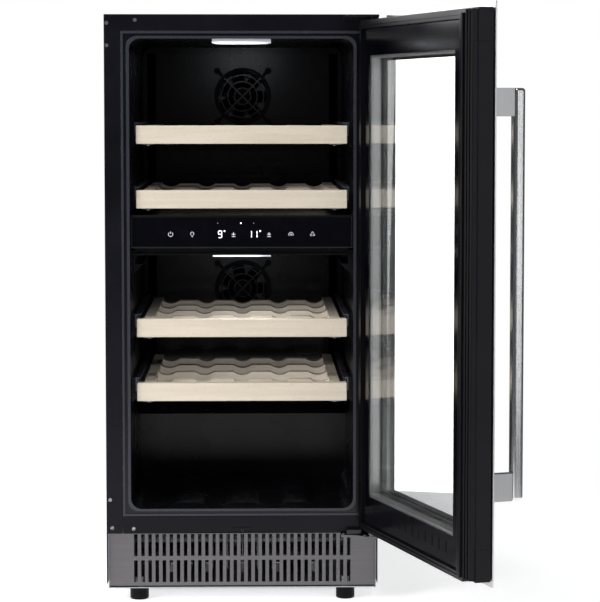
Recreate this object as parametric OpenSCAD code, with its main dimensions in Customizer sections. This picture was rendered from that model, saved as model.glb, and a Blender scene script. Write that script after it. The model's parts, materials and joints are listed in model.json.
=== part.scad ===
// Built-in dual-zone wine cooler with a glass door standing open.
// Millimetres. +Z up, the door side faces -Y, origin on the floor at the middle of the four feet.

/* [Cabinet] */
// Width of the cabinet and of the door
body_w = 380; // [340:1:600]
// Height of the cabinet's top above the floor
body_h = 823; // [700:1:900]
// Depth of the cabinet without its door
body_d = 525; // [450:1:620]
// Height of the front frame's lower edge above the floor
plinth_top = 99; // [85:1:130]
// Side wall from the outside to the compartment
side_wall = 34.5; // [28:0.5:50]
// Roof from the outside to the compartment
roof_wall = 33.4; // [26:0.2:50]
// Width of the steel frame round the opening
frame_border = 23; // [18:0.5:30]
// Thickness of the steel sheets
sheet = 1; // [0.8:0.1:1.5]

/* [Door] */
// How far the door stands open, in degrees
door_angle = 107; // [0:1:112]
// Thickness of the door with its steel face
door_t = 45; // [40:0.5:60]
// Border of the inner frame round the glass, at the sides
glass_border = 36; // [30:1:50]
// Border of the inner frame round the glass, at top and bottom
glass_border_z = 52; // [40:1:70]
// Side of the square handle bar
handle_bar_t = 15; // [10:0.5:22]
// Length of the handle
handle_len = 515; // [250:5:600]
// Gap between handle and door
handle_gap = 31.5; // [25:0.5:45]

/* [Shelves] */
// Height of the wooden front boards
board_h = 25.3; // [18:0.1:35]
// Thickness of the wooden front boards
board_t = 18; // [12:0.5:25]
// Gap between a board's end and the compartment wall
board_gap = 8.5; // [8:0.1:15]
// Number of slats behind a board
slat_count = 4; // [3:1:6]
// Spacing of the bottle hollows
cradle_pitch = 55; // [50:1:70]

/* [Plinth and feet] */
// Radius of a foot
foot_r = 13.25; // [10:0.25:20]
// Distance of the feet from the cabinet's side
foot_inset_x = 44; // [30:1:60]
// Distance of the feet from the cabinet's front and back
foot_inset_y = 35; // [30:1:60]
// How far the plinth plate stands behind the front frame
kick_recess = 15; // [8:0.5:40]
// Spacing of the plinth slots
slot_pitch = 10; // [8:0.5:14]
// Width of a plinth slot
slot_w = 5; // [3:0.5:7]

/* [Hidden] */
$fn = 64;
fit = 0.3;
seam = 0.1;
run = 0.05;
hx = body_w / 2;
yf = -body_d / 2;
yb = body_d / 2;
pan_z = 18;
pan_t = 1.5;
in_x = hx - side_wall;
in_z0 = plinth_top + 34.8;
in_z1 = body_h - roof_wall;
in_h = in_z1 - in_z0;
skin_t = 1.5;
corner_r = 15;
in_y1 = yb - 95;
step_y = yb - 255;
step_z = in_z0 + 98;
duct_y = yb - 125;
machine_y = step_y + 31;
machine_z = step_z - 32;
bead = 11.5;
ledge_d = 15;
ledge_drop = 16.5;
strip_t = 5;
strip_h = 20;
ledge_y0 = yf + 40;
ledge_y1 = duct_y - 6;
div_z0 = in_z0 + in_h * 0.5416;
div_z1 = div_z0 + 56;
board_y = yf + 12;
board_hx = in_x - board_gap;
board_drop = 10.8;
rail_x1 = in_x - strip_t - 0.3;
rail_h = 18.4;
rack_hx = rail_x1 - 12.7;
rack_y0 = board_y + board_t + seam;
rack_y1 = duct_y - 10;
rack_h = 14;
rail_y0 = yf + 42;
rail_y1 = duct_y - 10;
slat_t = 20;
cradle_r = 42;
cradle_cut = 5.5;
fan_r = 36;
fan_up_z = in_z1 - 76.6;
fan_lo_z = div_z0 - 76.6;
fan_y = duct_y + 2.1;
cool_fan_x = -75;
cool_fan_z = 92;
cool_fan_y = machine_y + 12;
comp_x = 72;
comp_y = yb - 112;
door_z0 = plinth_top - 1;
door_z1 = body_h + 1;
body_inset = 8;
db_z0 = door_z0 + body_inset;
db_z1 = door_z1 - body_inset;
pivot_s = 9;
pivot_d = 20;
pivot_x = hx - pivot_s;
pivot_y = yf - pivot_d;
pin_r = 4;
pin_len = 15;
cap_h = 41;
cap_s = 29;
glass_z0 = db_z0 + glass_border_z + 1;
glass_z1 = db_z1 - glass_border_z + 1;
pane_lap = 3;
inner_pane_d = 6.1;
outer_pane_d = 23;
window_s = glass_border + 8;
handle_s = 16;
handle_z0 = door_z0 + (door_z1 - door_z0 - handle_len) / 2 - 0.6;
slot_row_h = 31.2;
kick_z0 = 22;
kick_z1 = plinth_top - 1;
kick_hx = hx - sheet - 1.9;

function level(i) = in_z0 + in_h * (0.2458 + 0.13724 * i);

SHELF_ROWS = [0, 1, 3, 4];

// ---------- helpers ----------
module slab(x0, x1, y0, y1, z0, z1) {
  translate([x0, y0, z0]) cube([x1 - x0, y1 - y0, z1 - z0]);
}

module wide(half, y0, y1, z0, z1) {
  slab(-half, half, y0, y1, z0, z1);
}

module both() {
  children();
  mirror([1, 0, 0]) children();
}

module along_y(y0, y1) {
  translate([0, y1, 0]) rotate([90, 0, 0]) linear_extrude(y1 - y0) children();
}

module along_x(x0, x1) {
  translate([x0, 0, 0]) rotate([90, 0, 90]) linear_extrude(x1 - x0) children();
}

module round_y(r, y0, y1, x, z) {
  translate([x, y1, z]) rotate([90, 0, 0]) cylinder(r = r, h = y1 - y0);
}

module round_x(r, x0, x1, y, z) {
  translate([x0, y, z]) rotate([0, 90, 0]) cylinder(r = r, h = x1 - x0);
}

module soft_rect(x0, x1, z0, z1, r) {
  translate([x0 + r, z0]) square([x1 - x0 - 2 * r, z1 - z0]);
  translate([x0, z0 + r]) square([x1 - x0, z1 - z0 - 2 * r]);
  for (x = [x0 + r, x1 - r]) {
    for (z = [z0 + r, z1 - r]) {
      translate([x, z]) circle(r = r);
    }
  }
}

// closed-door coordinates: s from the hinge edge, d out of the cabinet's front plane
module panel(s0, s1, d0, d1, z0, z1) {
  slab(hx - s1, hx - s0, yf - d1, yf - d0, z0, z1);
}

module open_door() {
  translate([pivot_x, pivot_y, 0]) rotate([0, 0, door_angle])
    translate([-pivot_x, -pivot_y, 0]) children();
}

// a rectangular frame in closed-door coordinates
module ring(edge, in_s, in_lo, in_hi, d0, d1) {
  difference() {
    panel(edge, body_w - edge, d0, d1, db_z0 - 1 + edge, db_z1 + 1 - edge);
    panel(in_s, body_w - in_s, d0 - 1, d1 + 1, in_lo, in_hi);
  }
}

// ---------- cabinet shell ----------
module outer_wrapper() {
  color([0.07, 0.07, 0.09]) difference() {
    wide(hx, yf, yb, 28, body_h);
    wide(hx - sheet, yf + sheet, yb + 1, 0, body_h - sheet);
    wide(hx - frame_border, yf - 1, yf + sheet + 1, 0, body_h - frame_border);
    wide(hx - sheet, yf - 1, yf + sheet + 1, 0, plinth_top);
  }
}

module rear_panel() {
  color([0.08, 0.08, 0.09])
    wide(hx - sheet - 0.2, yb - 1.4, yb - 0.2, machine_z + 0.5, body_h - sheet - 0.2);
}

module base_pan() {
  bore_r = pin_r + run;
  color([0.45, 0.46, 0.48]) difference() {
    union() {
      wide(hx - sheet - 0.2, yf + kick_recess + 2, yb - 3.5, pan_z, pan_z + pan_t);
      both() along_x(hx - sheet - 1.6, hx - sheet - 0.2)
        polygon([[yf + kick_recess + 2, pan_z], [yb - 3.5, pan_z], [yb - 3.5, machine_z - 1.5],
          [machine_y + 2, machine_z - 1.5], [machine_y + 2, plinth_top - 0.2],
          [yf + kick_recess + 2, plinth_top - 0.2]]);
      both() for (y = [yf + foot_inset_y, yb - foot_inset_y]) {
        translate([hx - foot_inset_x, y, pan_z]) cylinder(r = 8, h = 14);
      }
    }
    both() for (y = [yf + foot_inset_y, yb - foot_inset_y]) {
      translate([hx - foot_inset_x, y, pan_z - 1]) cylinder(r = bore_r, h = 20);
    }
    for (i = [-4:4]) {
      slab(i * 26 - 3, i * 26 + 3, yf + 120, yf + 190, pan_z - 1, pan_z + 4);
    }
  }
}

module lower_front_rail() {
  rx = hx - frame_border - fit;
  rail_z1 = in_z0 - 10.3;
  color([0.07, 0.07, 0.09]) difference() {
    wide(rx, yf, yf + 3.4, plinth_top, rail_z1);
    wide(rx + 1, yf + 1.2, yf + 4, plinth_top + 1.2, rail_z1 - 1.2);
    wide(13, yf - 1, yf + 0.5, plinth_top + 8.4, plinth_top + 9.6);
    round_y(1.6, yf - 1, yf + 2, 0, plinth_top + 3.6);
  }
}

module liner_block(grow) {
  along_y(yf + 3, in_y1 + skin_t + grow)
    soft_rect(-in_x - skin_t - grow, in_x + skin_t + grow, in_z0 - skin_t - grow,
      in_z1 + skin_t + grow, corner_r + skin_t);
}

module ledge() {
  along_y(ledge_y0, ledge_y1)
    polygon([[in_x + 0.5, 0], [in_x - ledge_d, 0], [in_x - ledge_d, -2],
      [in_x + 0.5, -ledge_drop]]);
  along_y(ledge_y0, ledge_y1) translate([in_x - strip_t, 0]) square([strip_t + 0.5, strip_h]);
}

module inner_liner() {
  fx = hx - frame_border - fit;
  fz1 = body_h - frame_border - fit;
  fz0 = in_z0 - 10;
  color([0.05, 0.05, 0.06]) {
    difference() {
      union() {
        liner_block(0);
        wide(fx, yf + 1.4, yf + 3.4, fz0, fz1);
        wide(fx, yf + 0.2, yf + 3, fz0, fz1);
      }
      // groove between the two ridges of the front bead
      difference() {
        wide(fx - 3, yf - 1, yf + 1.8, fz0 + 3, fz1 - 3);
        along_y(yf - 2, yf + 3) soft_rect(-in_x - 4, in_x + 4, in_z0 - 3.4, in_z1 + 3.6, corner_r);
      }
      difference() {
        along_y(yf - 1, in_y1) soft_rect(-in_x, in_x, in_z0, in_z1, corner_r);
        wide(in_x + 1, step_y, in_y1 + 9, in_z0 - 9, step_z);
      }
      wide(in_x + 9, step_y + skin_t, in_y1 + 9, in_z0 - 30, step_z - skin_t);
    }
    both() for (i = [0:4]) {
      translate([0, 0, level(i)]) ledge();
    }
    for (x = [-in_x / 2, 0, in_x / 2]) {
      intersection() {
        round_y(60, yf + 32, step_y - 6, x, in_z0 - 54.5);
        wide(in_x - 20, yf, step_y, in_z0 - 0.5, in_z0 + 20);
      }
    }
  }
}

module insulation_foam() {
  color([0.85, 0.8, 0.6]) difference() {
    wide(hx - sheet - 0.2, yf + 4, yb - 1.6, plinth_top + 1.4, body_h - sheet - 0.2);
    difference() {
      liner_block(0.2);
      wide(in_x + 3, step_y + skin_t + 0.2, in_y1 + 9, in_z0 - 30, step_z - skin_t - 0.2);
    }
    wide(hx, machine_y, yb + 1, plinth_top - 20, machine_z);
  }
}

module compartment_plate() {
  color([0.62, 0.63, 0.65]) along_x(-(hx - sheet - 2), hx - sheet - 2)
    polygon([[yf + 4, plinth_top + 0.2], [machine_y + 1.2, plinth_top + 0.2],
      [machine_y + 1.2, machine_z - 1.2], [yb - 4, machine_z - 1.2], [yb - 4, machine_z - 0.2],
      [machine_y + 0.2, machine_z - 0.2], [machine_y + 0.2, plinth_top + 1.2],
      [yf + 4, plinth_top + 1.2]]);
}

// ---------- zone divider and control panel ----------
module zone_divider() {
  low_x = in_x - strip_t - 1.5;
  color([0.05, 0.05, 0.06]) difference() {
    union() {
      wide(in_x - fit, yf + 22, duct_y - 0.5, div_z0 + 12, div_z1);
      wide(low_x, yf + 22, duct_y - 0.5, div_z0, div_z0 + 12.5);
      wide(low_x, yf + 14, yf + 23, div_z0, div_z0 + 2);
    }
    both() along_y(yf + 30, duct_y + 5) translate([in_x - ledge_d - 2, level(2) - 1])
      square([30, strip_h + 3]);
  }
}

module control_fascia() {
  color([0.03, 0.03, 0.04]) difference() {
    wide(in_x - fit, yf + 8, yf + 21.8, div_z0 + 10, div_z1);
    wide(in_x - 3, yf + 7, yf + 9.7, div_z0 + 13, div_z1 - 3);
    wide(in_x - 30, yf + 12, yf + 23, div_z0 + 18, div_z1 - 8);
    wide(in_x + 1, yf + 7, yf + 11, div_z0 + 9, div_z0 + 10.8);
  }
}

module control_glass() {
  color([0.02, 0.02, 0.03]) wide(in_x - 3.2, yf + 7.6, yf + 9.6, div_z0 + 13.2, div_z1 - 3.2);
}

module zone_lights() {
  color([0.95, 0.96, 1]) {
    wide(41, yf + 22, yf + 50, in_z1 - 5.2, in_z1 - seam);
    wide(37, yf + 25, yf + 47, in_z1 - 6.2, in_z1 - 5);
    wide(40.5, yf + 20, yf + 44, div_z0 - 2.4, div_z0 - seam);
  }
}

// ---------- air ducts, fans and evaporators ----------
module duct_shell(z0, z1, fan_z) {
  half = in_x - 20.5;
  back = in_x - 6;
  t = 2;
  difference() {
    translate([0, 0, z0]) linear_extrude(z1 - z0)
      polygon([[-back, in_y1 - 0.3], [-half, duct_y], [half, duct_y], [back, in_y1 - 0.3]]);
    translate([0, 0, z0 - 1]) linear_extrude(z1 - z0 - 1)
      polygon([[-back + 2.6, in_y1 + 1], [-half + 1.4, duct_y + t], [half - 1.4, duct_y + t],
        [back - 2.6, in_y1 + 1]]);
    round_y(fan_r + 4, duct_y - 1, duct_y + 4, 0, fan_z);
    for (x = [-39.7, 39.7]) {
      for (z = [-39.7, 39.7]) {
        round_y(5, duct_y - 1, duct_y + 1, x, fan_z + z);
      }
    }
    for (i = [0:4]) {
      wide(60, duct_y - 1, duct_y + 4, z0 + 14 + i * 9, z0 + 18 + i * 9);
    }
  }
  for (r = [14, 24, 34]) {
    difference() {
      round_y(r, duct_y + 0.3, duct_y + 1.7, 0, fan_z);
      round_y(r - 2, duct_y - 1, duct_y + 4, 0, fan_z);
    }
  }
  for (a = [45, 135]) {
    translate([0, duct_y + 0.3, fan_z]) rotate([0, a, 0]) translate([-41, 0, -1.2])
      cube([82, 1.4, 2.4]);
  }
}

module upper_duct_cover() {
  color([0.06, 0.06, 0.07]) duct_shell(div_z1 + 1, in_z1 - 10.6, fan_up_z);
}

module lower_duct_cover() {
  color([0.06, 0.06, 0.07]) duct_shell(step_z + 0.5, div_z0 - 4, fan_lo_z);
}

module evaporator(z0, z1) {
  wide(in_x - 22, in_y1 - 6, in_y1 - 4, z0, z1);
  for (i = [0:5]) {
    intersection() {
      round_x(3, -in_x + 26, in_x - 26, in_y1 - 5, z0 + 12 + i * (z1 - z0 - 24) / 5);
      wide(in_x, in_y1 - 8, in_y1 - 2, z0, z1);
    }
  }
}

module evaporators() {
  color([0.78, 0.79, 0.8]) {
    evaporator(div_z1 + 14, in_z1 - 26);
    evaporator(step_z + 14, div_z0 - 20);
  }
}

module fan_frame(half, hole_r, depth, y, x, z) {
  difference() {
    union() {
      difference() {
        slab(x - half, x + half, y, y + depth, z - half, z + half);
        round_y(hole_r, y - 1, y + depth + 1, x, z);
      }
      round_y(hole_r * 0.36, y + depth - 2.8, y + depth - 0.3, x, z);
      for (a = [45, 135]) {
        translate([x, y + depth - 2.5, z]) rotate([0, a, 0])
          translate([-hole_r - 4, 0, -1.5]) cube([2 * hole_r + 8, 2, 3]);
      }
    }
    round_y(2 + run, y, y + depth + 1, x, z);
  }
}

module rotor(r, depth, y, x, z) {
  hub = r * 0.36;
  round_y(hub, y, y + depth, x, z);
  round_y(2, y + depth - 1, y + depth + 3.2, x, z);
  for (i = [0:6]) {
    translate([x, y + depth / 2, z]) rotate([0, i * 360 / 7, 0]) intersection() {
      rotate([90, 0, 0]) cylinder(r = r, h = depth - 1, center = true);
      translate([hub * 0.8, 0, 0]) rotate([32, 0, 0]) translate([0, -0.8, -r * 0.34])
        cube([r, 1.6, r * 0.68]);
    }
  }
}

module fan_frames() {
  color([0.04, 0.04, 0.05]) {
    fan_frame(fan_r + 4, fan_r + 1.5, 15, fan_y, 0, fan_up_z);
    fan_frame(fan_r + 4, fan_r + 1.5, 15, fan_y, 0, fan_lo_z);
  }
}

module upper_fan() {
  color([0.1, 0.1, 0.11]) rotor(fan_r, 10.5, fan_y + 1.2, 0, fan_up_z);
}

module lower_fan() {
  color([0.1, 0.1, 0.11]) rotor(fan_r, 10.5, fan_y + 1.2, 0, fan_lo_z);
}

module temperature_sensors() {
  color([0.75, 0.75, 0.72]) for (z = [fan_up_z - 62, fan_lo_z - 62]) {
    slab(-in_x + 34, -in_x + 44, duct_y - 3.3, duct_y - seam, z - 9, z + 9);
    translate([-in_x + 39, duct_y - 5, z - 14]) cylinder(r = 2.6, h = 28);
  }
}

module charcoal_filter() {
  fx = in_x - 52;
  color([0.12, 0.12, 0.13]) {
    round_y(24, duct_y - 4, duct_y - seam, fx, fan_lo_z - 90);
    difference() {
      round_y(21, duct_y - 7, duct_y - 3.5, fx, fan_lo_z - 90);
      for (i = [-3:3]) {
        slab(fx - 16, fx + 16, duct_y - 9, duct_y - 5, fan_lo_z - 91.2 + i * 5,
          fan_lo_z - 88.8 + i * 5);
      }
    }
  }
}

// ---------- plinth and machine compartment ----------
module kickplate() {
  y = yf + kick_recess;
  n = floor((kick_hx - 32) / slot_pitch);
  row = min(slot_row_h, (kick_z1 - kick_z0 - 13) / 2);
  color([0.55, 0.54, 0.54]) {
    difference() {
      wide(kick_hx, y, y + 1.5, kick_z0, kick_z1);
      for (i = [-n:n]) {
        slab(i * slot_pitch - slot_w / 2, i * slot_pitch + slot_w / 2, y - 1, y + 3,
          kick_z0 + 5, kick_z0 + 5 + row);
        slab(i * slot_pitch - slot_w / 2, i * slot_pitch + slot_w / 2, y - 1, y + 3,
          kick_z1 - 2.7 - row, kick_z1 - 2.7);
      }
    }
    both() slab(kick_hx - 1.6, kick_hx, y + 1, y + 14, kick_z0, kick_z1);
    wide(kick_hx, y + 1, y + 12, kick_z1 - 1.2, kick_z1);
  }
}

module compressor() {
  z = pan_z + 14;
  color([0.05, 0.05, 0.05]) translate([comp_x, comp_y, z]) {
    difference() {
      translate([-78, -52, 0]) cube([156, 104, 3]);
      for (x = [-66, 66]) {
        for (y = [-42, 42]) {
          translate([x, y, -1]) cylinder(r = 4.3, h = 6);
        }
      }
    }
    translate([0, 0, 2]) cylinder(r = 40, h = 12);
    translate([0, 0, 12]) cylinder(r1 = 52, r2 = 62, h = 14);
    translate([0, 0, 26]) cylinder(r = 62, h = 62);
    translate([0, 0, 80]) cylinder(r = 64, h = 6);
    translate([0, 0, 88]) cylinder(r1 = 62, r2 = 54, h = 16);
    translate([0, 0, 104]) cylinder(r1 = 54, r2 = 30, h = 10);
    translate([-84, -20, 40]) cube([34, 40, 44]);
  }
}

module compressor_grommets() {
  color([0.1, 0.1, 0.1]) translate([comp_x, comp_y, pan_z + pan_t + seam]) {
    for (x = [-66, 66]) {
      for (y = [-42, 42]) {
        translate([x, y, 0]) cylinder(r = 9, h = 12.2);
        translate([x, y, 12]) cylinder(r = 4, h = 7);
        translate([x, y, 15.6]) cylinder(r = 8, h = 4);
      }
    }
  }
}

module condenser_coil() {
  cx = hx - 28;
  y0 = yf + 70;
  color([0.7, 0.7, 0.72]) {
    for (i = [0:14]) {
      x = -cx + 12 + i * (2 * cx - 24) / 14;
      slab(x - 0.6, x + 0.6, y0, y0 + 90, i % 14 == 0 ? pan_z + pan_t + seam : 34, 88);
    }
    for (j = [0:3]) {
      for (k = [0:1]) {
        round_x(4, -cx, cx, y0 + 15 + j * 20, 48 + k * 26);
      }
    }
    both() for (j = [0:3]) {
      translate([cx - 7, y0 + 15 + j * 20, 48]) cylinder(r = 3, h = 26);
    }
    for (j = [0:2]) {
      side = j % 2 == 0 ? 1 : -1;
      translate([side * (cx - 7), y0 + 15 + j * 20, 48]) rotate([-90, 0, 0])
        cylinder(r = 2.6, h = 20);
    }
  }
}

module condenser_shroud() {
  color([0.06, 0.06, 0.06]) {
    fan_frame(58, 53, 25, cool_fan_y, cool_fan_x, cool_fan_z);
    slab(cool_fan_x - 58, cool_fan_x + 58, cool_fan_y, cool_fan_y + 25, pan_z + pan_t + seam,
      cool_fan_z - 57);
  }
}

module condenser_fan() {
  color([0.12, 0.12, 0.12]) rotor(51, 20, cool_fan_y + 1.7, cool_fan_x, cool_fan_z);
}

module drain_tray() {
  z = pan_z + 128 + seam;
  color([0.1, 0.1, 0.1]) difference() {
    slab(comp_x - 62, comp_x + 62, comp_y - 55, comp_y + 55, z, z + 20);
    slab(comp_x - 59, comp_x + 59, comp_y - 52, comp_y + 52, z + 3, z + 21);
  }
}

module pipe(a, b, r) {
  d = b - a;
  len = norm(d);
  translate(a) rotate([0, acos(d[2] / len), atan2(d[1], d[0])]) cylinder(r = r, h = len);
}

// straight lengths joined by slightly fatter ball elbows
module run_pipe(points, r) {
  for (p = points) {
    translate(p) sphere(r = r + 0.8);
  }
  for (i = [1:len(points) - 1]) {
    pipe(points[i - 1], points[i], r);
  }
}

module refrigerant_tubes() {
  right = hx - 16;
  cz = 100;
  color([0.72, 0.42, 0.28]) {
    run_pipe([[comp_x + 65.4, comp_y, cz], [right, comp_y, cz], [right, machine_y + 30, cz],
      [right, machine_y + 30, 60], [right, yf + 190, 60], [hx - 40, yf + 190, 60]], 3);
    run_pipe([[comp_x + 20, comp_y + 68, 70], [comp_x - 90, comp_y + 68, 70],
      [comp_x - 90, comp_y + 68, 150], [comp_x - 90, yb - 30, machine_z - 8]], 4);
  }
  color([0.72, 0.42, 0.28]) translate([hx - 60, yf + 190, 60]) rotate([0, 90, 0])
    cylinder(r = 9, h = 24);
}

module power_box() {
  x0 = -hx + 60;
  x1 = x0 + 92;
  y1 = yb - 4;
  color([0.08, 0.08, 0.08]) {
    difference() {
      slab(x0, x1, y1 - 70, y1, pan_z + 8, pan_z + 88);
      slab(x0 + 34, x0 + 58, y1 - 16, y1 + 1, pan_z + 36, pan_z + 53);
    }
    for (dx = [-6, 0, 6]) {
      slab(x0 + 45.2 + dx, x0 + 46.8 + dx, y1 - 17, y1 - 3, pan_z + 42, pan_z + 47);
    }
    for (dx = [8, 84]) {
      slab(x0 + dx - 4, x0 + dx + 4, y1 - 60, y1 - 10, pan_z + pan_t + seam, pan_z + 9);
    }
  }
}

module rear_grille() {
  x0 = -hx + 60;
  color([0.08, 0.08, 0.09]) difference() {
    wide(hx - sheet - 2, yb - 3, yb - 0.6, pan_z + 0.5, machine_z - 0.3);
    slab(x0 + 26, x0 + 66, yb - 4, yb + 1, pan_z + 30, pan_z + 60);
    for (i = [0:8]) {
      slab(-22, hx - 30, yb - 4, yb + 1, pan_z + 20 + i * 18, pan_z + 28 + i * 18);
    }
    for (i = [4:8]) {
      slab(-hx + 30, -34, yb - 4, yb + 1, pan_z + 20 + i * 18, pan_z + 28 + i * 18);
    }
  }
}

module foot(sx, sy) {
  x = sx * (hx - foot_inset_x);
  y = sy * (yb - foot_inset_y);
  rim = 2.5;
  color([0.03, 0.03, 0.03]) translate([x, y, 0]) {
    translate([0, 0, rim]) cylinder(r = foot_r, h = pan_z - fit - rim);
    rotate_extrude() translate([0, rim]) {
      intersection() {
        union() {
          translate([0, -rim]) square([foot_r - rim, rim]);
          translate([foot_r - rim, 0]) circle(r = rim);
        }
        translate([0, -rim]) square([foot_r, rim]);
      }
    }
    translate([0, 0, pan_z - 1]) cylinder(r = pin_r, h = 34);
  }
}

module foot_front_left() {
  foot(-1, -1);
}

module foot_front_right() {
  foot(1, -1);
}

module foot_rear_left() {
  foot(-1, 1);
}

module foot_rear_right() {
  foot(1, 1);
}

// ---------- shelves ----------
module fixed_rails() {
  color([0.7, 0.71, 0.73]) both() for (i = SHELF_ROWS) {
    translate([0, 0, level(i)]) along_y(rail_y0, rail_y1) {
      translate([rail_x1 - 1.3, 0.2]) square([1.3, rail_h]);
      translate([rail_x1 - 7, 0.2]) square([7, 1.2]);
      translate([rail_x1 - 7, rail_h - 1]) square([7, 1.2]);
    }
  }
}

module shelf_front(i) {
  z = level(i) - board_drop;
  color([0.88, 0.8, 0.68]) wide(board_hx, board_y, board_y + board_t, z, z + board_h);
}

module shelf_rack(i) {
  z = level(i) + 0.4;
  span = rack_y1 - rack_y0;
  n = floor((rack_hx - 14) / cradle_pitch);
  color([0.84, 0.74, 0.58]) {
    both() slab(rack_hx - 14, rack_hx, rack_y0, rack_y1, z, z + rack_h);
    difference() {
      for (k = [0:slat_count - 1]) {
        y = rack_y0 + (k + 0.5) * span / slat_count;
        wide(rack_hx - 10, y - slat_t / 2, y + slat_t / 2, z, z + rack_h - 1);
      }
      for (j = [-n:n]) {
        round_y(cradle_r / 2, rack_y0, rack_y1, j * cradle_pitch,
          z + rack_h - cradle_cut + cradle_r / 2);
      }
    }
  }
}

module shelf_rails(i) {
  z = level(i);
  tab_z = z - board_drop - 1.3;
  color([0.75, 0.76, 0.78]) both() {
    slab(rail_x1 - 4.2, rail_x1 - 2.8, rail_y0, rail_y1, z + 2, z + rail_h - 2);
    slab(rack_hx + seam, rail_x1 - 3, rail_y0, rail_y1, z + 8.4, z + 9.8);
    slab(rack_hx + seam, rack_hx + 1.4, rack_y0 + 0.2, rail_y1, z + 0.6, z + 14.2);
    slab(rack_hx + seam, rack_hx + 1.4, rack_y0 + 0.2, rack_y0 + 8, tab_z, z + 3);
    slab(rack_hx - 14, rack_hx + 1.4, board_y + 6, rack_y0 + 8, tab_z, tab_z + 1.2);
    translate([rack_hx - 7, board_y + 13, tab_z - 1.6]) cylinder(r = 3, h = 1.8);
  }
}

module shelf_1_front() {
  shelf_front(SHELF_ROWS[0]);
}

module shelf_1_rack() {
  shelf_rack(SHELF_ROWS[0]);
}

module shelf_1_rails() {
  shelf_rails(SHELF_ROWS[0]);
}

module shelf_2_front() {
  shelf_front(SHELF_ROWS[1]);
}

module shelf_2_rack() {
  shelf_rack(SHELF_ROWS[1]);
}

module shelf_2_rails() {
  shelf_rails(SHELF_ROWS[1]);
}

module shelf_3_front() {
  shelf_front(SHELF_ROWS[2]);
}

module shelf_3_rack() {
  shelf_rack(SHELF_ROWS[2]);
}

module shelf_3_rails() {
  shelf_rails(SHELF_ROWS[2]);
}

module shelf_4_front() {
  shelf_front(SHELF_ROWS[3]);
}

module shelf_4_rack() {
  shelf_rack(SHELF_ROWS[3]);
}

module shelf_4_rails() {
  shelf_rails(SHELF_ROWS[3]);
}

// ---------- hinges and screws ----------
module upper_hinge() {
  z = db_z1 + 2.4;
  color([0.04, 0.04, 0.04]) {
    slab(hx - 50, hx - 2, yf - 2.2, yf - seam, z - 3.4, body_h - 0.6);
    translate([0, 0, z]) linear_extrude(3)
      polygon([[hx - 50, yf - 1], [hx - 1, yf - 1], [hx - 1, yf - 28], [hx - 18, yf - 29],
        [hx - 30, yf - 14], [hx - 50, yf - 12]]);
    translate([pivot_x, pivot_y, z - pin_len - 2]) cylinder(r = pin_r, h = pin_len + 4);
    for (x = [hx - 42, hx - 33]) {
      translate([x, yf - 6.5, z + 2.8]) cylinder(r = 3, h = 1.2);
    }
  }
}

module lower_hinge() {
  z = plinth_top - 3.5;
  color([0.62, 0.62, 0.63]) {
    translate([0, 0, z]) linear_extrude(3.3)
      polygon([[hx - 52, yf + kick_recess - 2], [hx - 1, yf + kick_recess - 2],
        [hx - 1, yf - 28], [hx - 18, yf - 29], [hx - 30, yf - 18], [hx - 52, yf - 14]]);
    translate([pivot_x, pivot_y, z + 1]) cylinder(r = pin_r, h = db_z0 - z - 1 + pin_len);
    translate([pivot_x, pivot_y, z + 3]) cylinder(r = 6.5, h = db_z0 - z - 3 - fit);
    for (p = [[hx - 48, yf - 9], [hx - 19, yf - 22]]) {
      translate([p[0], p[1], z + 3]) cylinder(r = 2.8, h = 1.9);
    }
  }
}

module lower_hinge_cover() {
  z = plinth_top + 0.2;
  color([0.04, 0.04, 0.04]) difference() {
    slab(hx - 44, hx - 24, yf - 13, yf - 0.2, z, db_z0 - 0.6);
    slab(hx - 42.5, hx - 25.5, yf - 11.5, yf - 1.7, z - 1, db_z0 - 2);
  }
}

module cabinet_screws() {
  color([0.2, 0.2, 0.21]) for (p = [[-186, body_h - 12], [-147, body_h - 8], [-186, body_h - 43],
      [-185, plinth_top + 48], [-182, plinth_top + 8], [-152, plinth_top + 7]]) {
    x = p[0] + 190 - hx;
    round_y(2.6, yf - 0.2, yf - 0.02, x, p[1]);
    round_y(1.9, yf - 0.3, yf - 0.1, x, p[1]);
  }
}

// ---------- door ----------
module door_skin() {
  t = 2;
  lip = 15;
  z0 = glass_z0 + 9;
  z1 = glass_z1 - 5.5;
  color([0.7, 0.69, 0.68]) open_door() {
    difference() {
      panel(0, body_w, door_t - t, door_t, door_z0, door_z1);
      panel(window_s, body_w - window_s, door_t - t - 1, door_t + 1, z0, z1);
    }
    difference() {
      panel(window_s - 1.5, body_w - window_s + 1.5, door_t - t - lip, door_t - t + 0.5,
        z0 - 1.5, z1 + 1.5);
      panel(window_s, body_w - window_s, door_t - t - lip - 1, door_t + 1, z0, z1);
    }
  }
}

module corner_blocks(grow) {
  for (s = [-5, body_w - cap_s - grow]) {
    for (z = [db_z0 - 5, db_z1 - cap_h - grow]) {
      panel(s, s + cap_s + grow + 5, 10, door_t, z, z + cap_h + grow + 5);
    }
  }
}

module door_body() {
  // stepped perimeter: the inner part stands back by 2
  difference() {
    union() {
      ring(1, glass_border + 6, glass_z0 + 7, glass_z1 - 3.5, 21, door_t - 4);
      ring(3, glass_border + 6, glass_z0 + 7, glass_z1 - 3.5, 14, 21.5);
    }
    panel(glass_border - 4.5, body_w - glass_border + 4.5, 10, outer_pane_d + 4.3,
      glass_z0 - 4.5, glass_z1 + 4.5);
  }
}

module door_frame() {
  color([0.1, 0.1, 0.11]) open_door() difference() {
    door_body();
    corner_blocks(seam);
  }
}

module door_end_caps() {
  color([0.08, 0.08, 0.09]) open_door() difference() {
    intersection() {
      door_body();
      corner_blocks(0);
    }
    for (z = [db_z0 - 1, db_z1 - pin_len - 1]) {
      translate([pivot_x, pivot_y, z]) cylinder(r = pin_r + run, h = pin_len + 2);
    }
  }
}

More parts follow.
